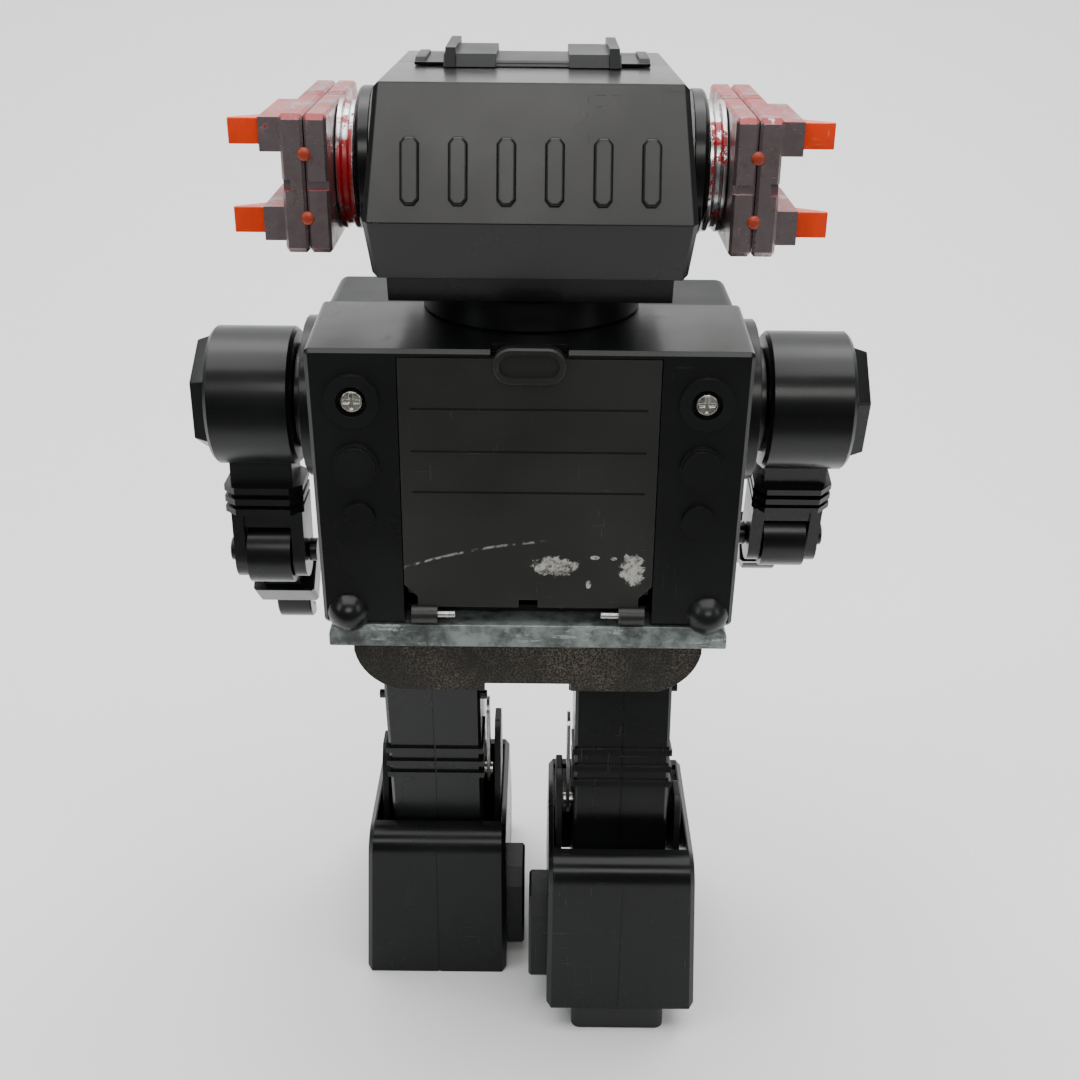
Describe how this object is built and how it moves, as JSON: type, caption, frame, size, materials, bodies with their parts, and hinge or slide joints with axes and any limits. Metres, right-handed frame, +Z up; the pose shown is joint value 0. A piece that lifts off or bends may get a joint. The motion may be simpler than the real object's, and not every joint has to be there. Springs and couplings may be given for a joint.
{
  "type": "walking robot toy",
  "caption": "Battery-driven walking humanoid robot toy with a turning head, tilting side pods, swinging arms, rear battery door and stepping legs.",
  "frame": {"origin": "on the floor, below the centre of the bounding box", "axes": "+Z up, the robot faces -Y, its left hand is at +X"},
  "size_m": [0.2136, 0.1354, 0.3168],
  "materials": {
    "black_plastic": "aged gloss",
    "door_plastic": "satin, scratched",
    "silvered_plastic": "worn vacuum-metallised",
    "zinc_plate": "mottled galvanised",
    "pelvis_metal": "grainy worn",
    "steel": "bright",
    "worn_chrome": "chrome with worn red",
    "orange_plastic": "translucent",
    "red_plastic": "gloss",
    "inner_plastic": "matt",
    "cell_wrap": "printed sleeve, blank",
    "brass": "plain"
  },
  "bodies": {
    "torso": {"torso_rear_shell": "black_plastic", "torso_front_shell": "black_plastic", "waist_plate": "zinc_plate", "pelvis_pan": "pelvis_metal", "neck_collar": "black_plastic", "chest_bezel": "silvered_plastic", "chest_lens": "red_plastic", "battery_tray": "inner_plastic", "cell_upper": "cell_wrap", "cell_lower": "cell_wrap", "rear_screw_left": "steel", "rear_screw_right": "steel", "contact_plate_left": "brass", "contact_plate_right": "brass", "drive_motor": "steel", "gearbox_frame": "steel", "hip_shaft": "steel", "door_pin_left": "steel", "door_pin_right": "steel", "shoulder_flange_left": "black_plastic", "shoulder_flange_right": "black_plastic"},
    "crank": {"crankshaft": "steel"},
    "switch": {"power_switch": "orange_plastic"},
    "door": {"battery_door": "door_plastic"},
    "head": {"head_rear_shell": "black_plastic", "head_front_shell": "black_plastic", "head_crest": "black_plastic", "visor_lens": "red_plastic", "mouth_grille": "silvered_plastic", "ear_disc_left": "black_plastic", "ear_disc_right": "black_plastic"},
    "pod_left": {"pod_mount_left": "worn_chrome", "pod_inner_shell_left": "silvered_plastic", "pod_outer_shell_left": "silvered_plastic"},
    "upper_trigger_left": {"upper_lever_left": "orange_plastic"},
    "lower_trigger_left": {"lower_lever_left": "orange_plastic"},
    "arm_left": {"upper_arm_left": "black_plastic", "shoulder_cap_left": "black_plastic"},
    "forearm_left": {"forearm_left": "black_plastic", "hand_left": "black_plastic", "elbow_pin_left": "black_plastic"},
    "pod_right": {"pod_mount_right": "worn_chrome", "pod_inner_shell_right": "silvered_plastic", "pod_outer_shell_right": "silvered_plastic"},
    "upper_trigger_right": {"upper_lever_right": "orange_plastic"},
    "lower_trigger_right": {"lower_lever_right": "orange_plastic"},
    "arm_right": {"upper_arm_right": "black_plastic", "shoulder_cap_right": "black_plastic"},
    "forearm_right": {"forearm_right": "black_plastic", "hand_right": "black_plastic", "elbow_pin_right": "black_plastic"},
    "leg_left": {"leg_column_left": "black_plastic"},
    "ankle_left": {"ankle_pin_left": "steel"},
    "foot_left": {"boot_left": "black_plastic"},
    "stand_left": {"shoe_left": "inner_plastic"},
    "leg_right": {"leg_column_right": "black_plastic"},
    "ankle_right": {"ankle_pin_right": "steel"},
    "foot_right": {"boot_right": "black_plastic"},
    "stand_right": {"shoe_right": "inner_plastic"}
  },
  "joints": [
    {"name": "crank_spin", "type": "hinge", "parent": "torso", "child": "crank", "pos_m": [0, -0.01311, 0.164], "axis": [1, 0, 0], "continuous": true},
    {"name": "switch_slide", "type": "slide", "parent": "torso", "child": "switch", "axis": [1, 0, 0], "range_m": [0, 0.009]},
    {"name": "door_swing", "type": "hinge", "parent": "torso", "child": "door", "pos_m": [0, 0.04949, 0.1536], "axis": [1, 0, 0], "range_deg": [-115, 0]},
    {"name": "head_turn", "type": "hinge", "parent": "torso", "child": "head", "pos_m": [0, -0.0003, 0.245], "axis": [0, 0, 1], "range_deg": [-75, 75]},
    {"name": "pod_left_tilt", "type": "hinge", "parent": "head", "child": "pod_left", "pos_m": [0.053, 0.0109, 0.285], "axis": [1, 0, 0], "range_deg": [-60, 60]},
    {"name": "upper_lever_left_press", "type": "slide", "parent": "pod_left", "child": "upper_trigger_left", "axis": [0, -1, 0], "range_m": [0, 0.005], "stiffness_N_per_m": 60, "springref_m": -0.0005},
    {"name": "lower_lever_left_press", "type": "slide", "parent": "pod_left", "child": "lower_trigger_left", "axis": [0, -1, 0], "range_m": [0, 0.005], "stiffness_N_per_m": 60, "springref_m": -0.0005},
    {"name": "pod_right_tilt", "type": "hinge", "parent": "head", "child": "pod_right", "pos_m": [-0.053, 0.0109, 0.285], "axis": [1, 0, 0], "range_deg": [-60, 60]},
    {"name": "upper_lever_right_press", "type": "slide", "parent": "pod_right", "child": "upper_trigger_right", "axis": [0, -1, 0], "range_m": [0, 0.005], "stiffness_N_per_m": 60, "springref_m": -0.0005},
    {"name": "lower_lever_right_press", "type": "slide", "parent": "pod_right", "child": "lower_trigger_right", "axis": [0, -1, 0], "range_m": [0, 0.005], "stiffness_N_per_m": 60, "springref_m": -0.0005},
    {"name": "left_leg_swing", "type": "hinge", "parent": "torso", "child": "leg_left", "pos_m": [0.03125, 0.0209, 0.12798], "axis": [1, 0, 0], "range_deg": [0, 18]},
    {"name": "right_leg_swing", "type": "hinge", "parent": "torso", "child": "leg_right", "pos_m": [-0.03125, 0.0209, 0.12798], "axis": [1, 0, 0], "range_deg": [-18, 0]},
    {"name": "left_ankle_slide", "type": "slide", "parent": "leg_left", "child": "ankle_left", "axis": [0, 0.1564, 0.9877], "range_m": [0, 0.01115]},
    {"name": "left_ankle", "type": "hinge", "parent": "ankle_left", "child": "foot_left", "pos_m": [0.0328, 0.00538, 0.03], "axis": [1, 0, 0], "range_deg": [-18, 0]},
    {"name": "left_shoe_lift", "type": "slide", "parent": "foot_left", "child": "stand_left", "axis": [0, 0, 1], "range_m": [-0.01105, 0]},
    {"name": "left_shoulder", "type": "hinge", "parent": "torso", "child": "arm_left", "pos_m": [0.088, 0.00069, 0.2076], "axis": [1, 0, 0], "range_deg": [-14.1, 0]},
    {"name": "left_elbow", "type": "hinge", "parent": "arm_left", "child": "forearm_left", "pos_m": [0.0874, 0.00069, 0.152], "axis": [1, 0, 0], "range_deg": [-52, 13]},
    {"name": "right_ankle_slide", "type": "slide", "parent": "leg_right", "child": "ankle_right", "axis": [0, -0.1564, 0.9877], "range_m": [-0.01115, 0]},
    {"name": "right_ankle", "type": "hinge", "parent": "ankle_right", "child": "foot_right", "pos_m": [-0.0328, 0.03468, 0.04096], "axis": [1, 0, 0], "range_deg": [0, 18]},
    {"name": "right_shoe_lift", "type": "slide", "parent": "foot_right", "child": "stand_right", "axis": [0, 0, 1], "range_m": [0, 0.01105]},
    {"name": "right_shoulder", "type": "hinge", "parent": "torso", "child": "arm_right", "pos_m": [-0.088, 0.00069, 0.2076], "axis": [1, 0, 0], "range_deg": [0, 14.1]},
    {"name": "right_elbow", "type": "hinge", "parent": "arm_right", "child": "forearm_right", "pos_m": [-0.0874, -0.01276, 0.15365], "axis": [1, 0, 0], "range_deg": [-52, 13]}
  ],
  "couplings": [
    {"joint": "right_leg_swing", "follows": "left_leg_swing", "ratio": -1},
    {"joint": "left_ankle_slide", "follows": "left_leg_swing", "m_per_rad": 0.035332},
    {"joint": "left_ankle", "follows": "left_leg_swing", "ratio": -1},
    {"joint": "left_shoe_lift", "follows": "left_leg_swing", "m_per_rad": -0.034897},
    {"joint": "left_shoulder", "follows": "left_leg_swing", "ratio": -0.77778},
    {"joint": "right_ankle_slide", "follows": "left_leg_swing", "m_per_rad": -0.035332},
    {"joint": "right_ankle", "follows": "left_leg_swing", "ratio": 1},
    {"joint": "right_shoe_lift", "follows": "left_leg_swing", "m_per_rad": 0.034897},
    {"joint": "right_shoulder", "follows": "left_leg_swing", "ratio": 0.77778}
  ]
}
